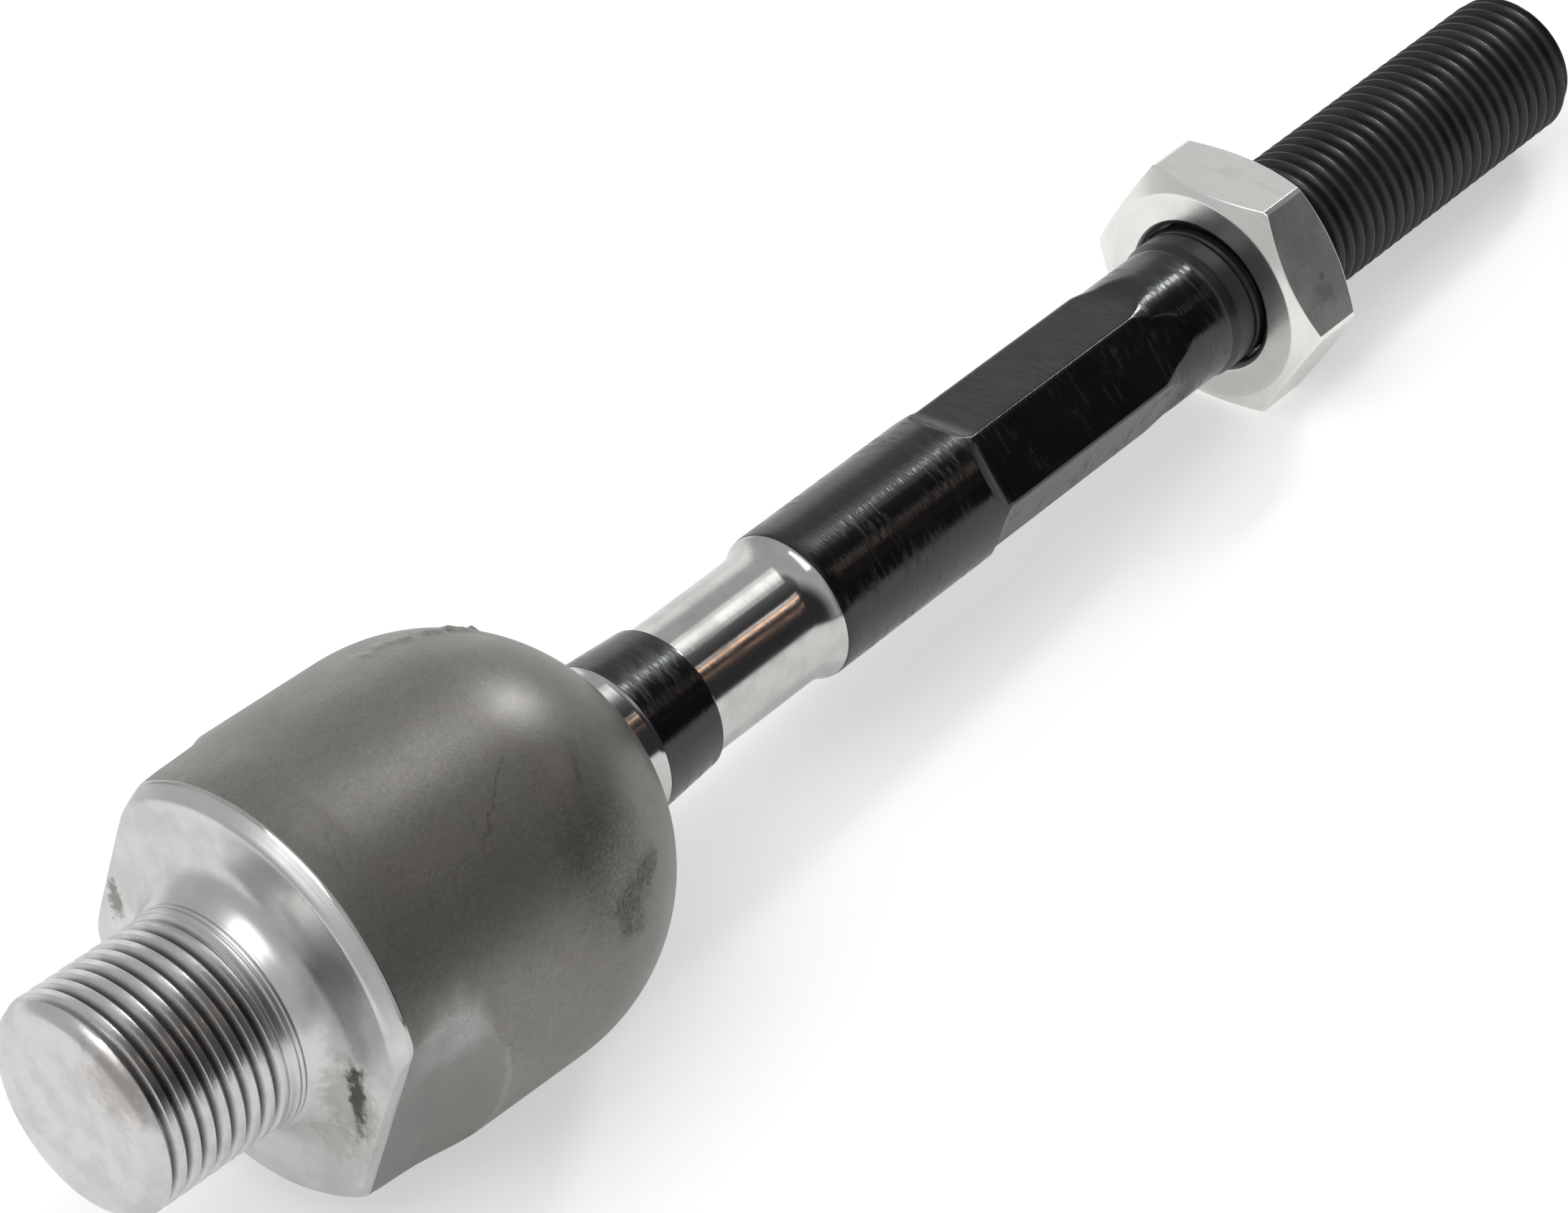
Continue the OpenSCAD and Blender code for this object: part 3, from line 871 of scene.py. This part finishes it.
# %% Housing
STUB_THREAD = {
    "Pitch": 1.5, "Depth": 0.62, "Crest Radius": 9.68, "Start": 30.2, "End": 44.3,
    "Blunt Until": 0.0, "Blunt Radius": 9.68, "Start Radius": 9.55, "Lead Length": 0.5,
    "Chamfer Length": 1.6, "Chamfer Depth": 1.85, "Crest Share": 0.36, "Columns": 128,
    "Rows Each Turn": 12}
rings = turned_rings(housing_outline, 320, limit=flats_of_housing, width=0.5, ease=3,
                     lump=burr_of_housing)
bm = bmesh.new()
add_skin(bm, rings, housing_outline.finishes)
close_up(bm)
cut_thread(bm, STUB_THREAD, threaded.material, THREAD, flip=True)
housing = finish_piece("housing_forging", bm, BARREL_AXES, [
    forged.material, machined.material, polished.material, threaded.material],
    "housing", flats=flats_of_housing)

# %% [markdown]
# The ball stud and the rod are one piece, turned from end to end. The ball stays bright, the
# collar is coated, the boot seat is ground for the rubber boot to grip, and the rest is black.
# Six flats are milled for a wrench, with a small cutter round at one end and a large one at the
# other. A column of points runs along each ridge, so that the ridges stay straight, and they
# are rounded a little, as the black coat fills them.

# %% Outline of the rod
HEX = {"half_width": 6.0, "start": 58.583, "start_round": 4.1, "end": 80.4, "end_round": 11.4}
BALL_R = 11.5
BALL_FLAT_R = 4
COLLAR_R = 7.17
SEAT_R = 6.2
ROD_R = 7.0
RELIEF_R = 6.5
GLOSS, STEEL, MATT = 0, 1, 2


def flats_of_rod(place, angle):
    return flats_limit(place, angle, range(-7, 353, 60), HEX, corner=0.3)


ball_back = math.sqrt(BALL_R ** 2 - BALL_FLAT_R ** 2)
ball_turn = math.degrees(math.acos(BALL_FLAT_R / BALL_R))
neck_turn = math.degrees(math.acos(5.6 / BALL_R))
rod_outline = Outline(0, -ball_back).line(BALL_FLAT_R, -ball_back, 2, STEEL)
rod_outline.arc(0, 0, BALL_R, -ball_turn, neck_turn, 34, STEEL)
rod_outline.arc(7.5, 9.392, 2.0, 160, 107.5, 8, STEEL).line(6.98, 11.3, 0.1, STEEL)
rod_outline.line(COLLAR_R, 11.5, 0.07, STEEL).line(COLLAR_R, 14.0, 0.5, STEEL)
rod_outline.line(7.2, 14.05, 0.05, GLOSS).line(6.72, 20.8, 0.6, GLOSS)
rod_outline.line(6.42, 21.1, 0.15, GLOSS).line(SEAT_R, 21.1, 0.12, STEEL)
rod_outline.line(SEAT_R, 33.6, 0.7, STEEL)
FLARE_LENGTH, FLARE_RISE = 2.6, 0.72
flare_r = (FLARE_LENGTH ** 2 + FLARE_RISE ** 2) / (2 * FLARE_RISE)
flare_turn = math.degrees(math.asin(FLARE_LENGTH / flare_r))
rod_outline.arc(SEAT_R + flare_r, 33.6, flare_r, 180, 180 - flare_turn, 9, STEEL)
rod_outline.line(ROD_R, 36.6, 0.3, GLOSS).line(ROD_R, 55.0, 1.2, GLOSS)
rod_outline.line(ROD_R, 59.0, 0.14, GLOSS).line(ROD_R, 78.4, 1.2, GLOSS)
rod_outline.line(RELIEF_R, 81.4, 0.3, GLOSS).line(RELIEF_R, 89.0, 0.5, GLOSS)
rod_outline.line(6.42, 89.3, 0.2, MATT).line(0, 89.3, 6.4, MATT)
print("rod outline has", len(rod_outline.points), "rings")

# %% [markdown]
# The long thread starts blunt, where the dies leave its first turns unfinished. It begins
# inside the relief, so that no gap shows between the two.

# %% Rod with its ball and thread
ROD_THREAD = {
    "Pitch": 1.5, "Depth": 0.86, "Crest Radius": 6.98, "Start": 88.9, "End": 141.0,
    "Blunt Until": 100.5, "Blunt Radius": 6.78, "Start Radius": 6.45, "Lead Length": 8.0,
    "Chamfer Length": 1.1, "Chamfer Depth": 1.5, "Crest Share": 0.08, "Columns": 112,
    "Rows Each Turn": 12}
rings = turned_rings(rod_outline, 240, first_angle=-7, limit=flats_of_rod, width=0.02)
bm = bmesh.new()
add_skin(bm, rings, rod_outline.finishes)
close_up(bm)
cut_thread(bm, ROD_THREAD, phosphate.material, MATT)
rod = finish_piece("tie_rod_shaft", bm, ROD_AXES, [
    black.material, polished.material, phosphate.material], "rod",
    flats=flats_of_rod, wear_reach=0.14, wear_angle=44)

# %% [markdown]
# The nut is a thin hexagon, chamfered on both faces by a cone that cuts a curve on each flat.
# A boolean would leave that curve as a bare sharp edge. Here the rings of points follow the
# curve in each direction, with a narrow ring beside it that rounds the edge.

# %% Rings of the nut
def nut_directions():
    corners = np.radians(np.arange(30, 390, 60))
    lean = np.concatenate([[0, 0.6, 1.08, 1.22, 1.36, 2.6], np.linspace(4, 56, 27),
                           [57.4, 58.64, 58.78, 58.92, 59.4]])
    return np.concatenate([corner + np.radians(lean) for corner in corners])


def nut_rings(nut_z, height, half_width, corner_r, face_r, bore_r, sink_r, chamfer):
    angle = nut_directions()
    inside = np.abs((angle - np.radians(30)) % np.radians(60) - np.radians(30))
    side = np.minimum(half_width / np.cos(np.minimum(inside, np.radians(30))), corner_r)
    slope = math.tan(math.radians(chamfer))
    drop = (side - face_r) * slope
    sink = sink_r - bore_r
    rows = []

    def ring(radius, place):
        radius = radius + 0 * angle
        rows.append(np.stack([radius * np.cos(angle), radius * np.sin(angle),
                              place + 0 * angle], -1))

    ring(bore_r, height / 2)
    ring(bore_r, sink + 0.08)
    ring(bore_r + 0.04, sink - 0.04)
    ring(bore_r + sink - 0.05, 0.05)
    ring(bore_r + sink + 0.06, 0)
    ring(bore_r + sink + 0.09, 0)
    for k in range(1, 5):
        ring(bore_r + sink + (face_r - bore_r - sink - 0.1) * k / 5, 0)
    ring(face_r - 0.10, 0)
    ring(face_r - 0.07, 0)
    ring(face_r + 0.06, 0.06 * slope)
    ring(face_r + 0.09, 0.09 * slope)
    for part in (0.25, 0.5, 0.75):
        ring(face_r + (side - face_r) * part, drop * part)
    ring(side - 0.13, drop - 0.13 * slope)
    ring(side - 0.10, drop - 0.10 * slope)
    ring(side - 0.03, drop + 0.01)
    ring(side, drop + 0.08)
    ring(side, drop + 0.11)
    for k in range(1, 8):
        ring(side, drop + 0.11 + (height - 2 * drop - 0.22) * k / 8)
    for row in reversed(rows[1:-7]):
        turned_over = row.copy()
        turned_over[:, 2] = height - turned_over[:, 2]
        rows.append(turned_over)
    rings = np.stack(rows)
    rings[:, :, 2] += nut_z
    return np.concatenate([rings, rings[:1]])


rings = nut_rings(nut_z=92.6, height=7.6, half_width=11.0, corner_r=12.55, face_r=10.25,
                  bore_r=7.05, sink_r=7.6, chamfer=30)
print("nut of", len(rings), "rings")

# %% Jam nut
bm = bmesh.new()
add_skin(bm, rings, [0] * (len(rings) - 1))
close_up(bm)
nut = finish_piece("jam_nut_zinc", bm, ROD_AXES, [zinc.material], "nut",
                   wear_reach=0.12, sharp=50)

# %% [markdown]
# The table is one large white sheet. It throws light back up under the part, and in polished
# metal it also glows faintly with light of its own; together these brighten the underside of
# the rod and barrel. The camera sees it as plain white, and it keeps a soft shadow under the
# part. A shadow catcher would lose the light from below. Far from the part the sheet gives more
# light of its own to the camera, so that it stays white there without the lamps, and one side
# of it looks darker in polished metal.

# %% White table
table_mesh = bpy.data.meshes.new("table")
bm = bmesh.new()
bmesh.ops.create_grid(bm, x_segments=2, y_segments=2, size=3.0)
bm.to_mesh(table_mesh)
bm.free()
table = bpy.data.objects.new("table", table_mesh)
table.location.z = TABLE_Z * MM
bpy.context.scene.collection.objects.link(table)
paper = bpy.data.materials.new("white table")
paper.use_nodes = True
tree = paper.node_tree
sheet = tree.nodes["Principled BSDF"].inputs
seen = terms_of(tree, add(tree, "ShaderNodeLightPath"))
spot = term(tree, "ShaderNodeTexCoord", output="Object")
beyond = vector_calc("DOT_PRODUCT", spot, (0.6, -0.8, 0)).ramp(0.12, 0.5, smooth=True)
white = vector_calc("LENGTH", spot).ramp(0.22, 0.8, 0.48, 1.0, smooth=True)
looked_at = calc("MAXIMUM", seen["Is Camera Ray"], seen["Is Transmission Ray"])
put(tree, sheet["Base Color"], blend_colours(
    tree, seen["Is Glossy Ray"] * beyond, (0.86, 0.86, 0.86), (0.10, 0.10, 0.10)))
put(tree, sheet["Roughness"], 0.9)
put(tree, sheet["Specular IOR Level"], 0.1)
put(tree, sheet["Emission Color"], (1.0, 1.0, 1.0))
put(tree, sheet["Emission Strength"],
    seen["Is Glossy Ray"] * (0.32 - beyond * 0.32) + looked_at * white)
table_mesh.materials.append(paper)
print("table at", TABLE_Z, "mm")

# %% [markdown]
# The light is a plain soft studio. The room is grey, bright behind the part and dark on the
# near right side, which gives the long dark band down the polished metal. World light alone
# would leave round metal lifeless, but it fills the shadows softly.

# %% Room light
world = bpy.data.worlds.new("studio")
bpy.context.scene.world = world
world.use_nodes = True
tree = world.node_tree
direction = term(tree, "ShaderNodeTexCoord", output="Generated")


def toward(way, low, high):
    lean = vector_calc("DOT_PRODUCT", direction, Vector(way).normalized())
    return lean.ramp(low, high, smooth=True)


WHITE = (1.0, 1.0, 1.0)
seen = terms_of(tree, add(tree, "ShaderNodeLightPath"))
looked_at = calc("MAXIMUM", seen["Is Camera Ray"], seen["Is Transmission Ray"])
room = blend_colours(tree, toward((0.55, 0.83, -0.05), 0.86, 0.98), (0.44, 0.45, 0.46), WHITE)
room = blend_colours(tree, seen["Is Glossy Ray"] * 0.1, room, WHITE)
room = blend_colours(tree, toward((0.65, -0.23, 0.72), 0.92, 0.97), room, (0.15, 0.15, 0.155))
room = blend_colours(tree, toward((0.60, -0.76, 0.22), 0.55, 0.88), room,
                     (0.035, 0.035, 0.038))
backdrop = tree.nodes["Background"].inputs
put(tree, backdrop["Color"], blend_colours(tree, looked_at, room, WHITE))
put(tree, backdrop["Strength"], 1.0)
print("room has", len(tree.nodes), "nodes")

# %% [markdown]
# Soft lamps draw the bright bands along the round parts. A wide one stands behind and above,
# with a narrower one inside it, so that its band is brightest in the middle. Thin lamps, two
# of them warm, give the fine lines on polished steel. The end lamp shines from the thread's
# end, and the overhead lamp fills the tops. One strong lamp would give hard spots.

# %% Lamps
LIT_POINT = Vector((0.07, 0, 0))


def soft_lamp(name, azimuth, elevation, distance, width, height, brightness, colour=(1, 1, 1)):
    data = bpy.data.lights.new(name, "AREA")
    data.shape = "RECTANGLE"
    data.size, data.size_y = width, height
    data.energy = brightness * math.pi * width * height
    data.color = colour
    lamp = bpy.data.objects.new(name, data)
    a, e = math.radians(azimuth), math.radians(elevation)
    way = Vector((math.cos(e) * math.cos(a), math.cos(e) * math.sin(a), math.sin(e)))
    lamp.location = LIT_POINT + way * distance
    lamp.rotation_euler = way.to_track_quat("Z", "Y").to_euler()
    bpy.context.scene.collection.objects.link(lamp)


soft_lamp("wide soft lamp", 13, 50, 1.25, 0.60, 0.20, 0.60)
soft_lamp("middle of the wide lamp", 13, 50, 1.2, 0.30, 0.20, 0.50)
soft_lamp("thin lamp", -36, 39, 1.2, 0.025, 0.22, 1.6)
soft_lamp("warm lamp", -40, 35, 1.2, 0.045, 0.25, 2.0, (1.0, 0.66, 0.48))
soft_lamp("faint warm lamp", -48, 24, 1.2, 0.03, 0.30, 0.4, (1.0, 0.60, 0.42))
soft_lamp("end lamp", 10, 35, 1.4, 0.15, 0.46, 17.0)
soft_lamp("overhead lamp", 180, 64, 1.4, 0.9, 0.9, 1.8)

# %% [markdown]
# Colours are shown as they are written, without a film look.

bpy.context.scene.view_settings.view_transform = "Standard"
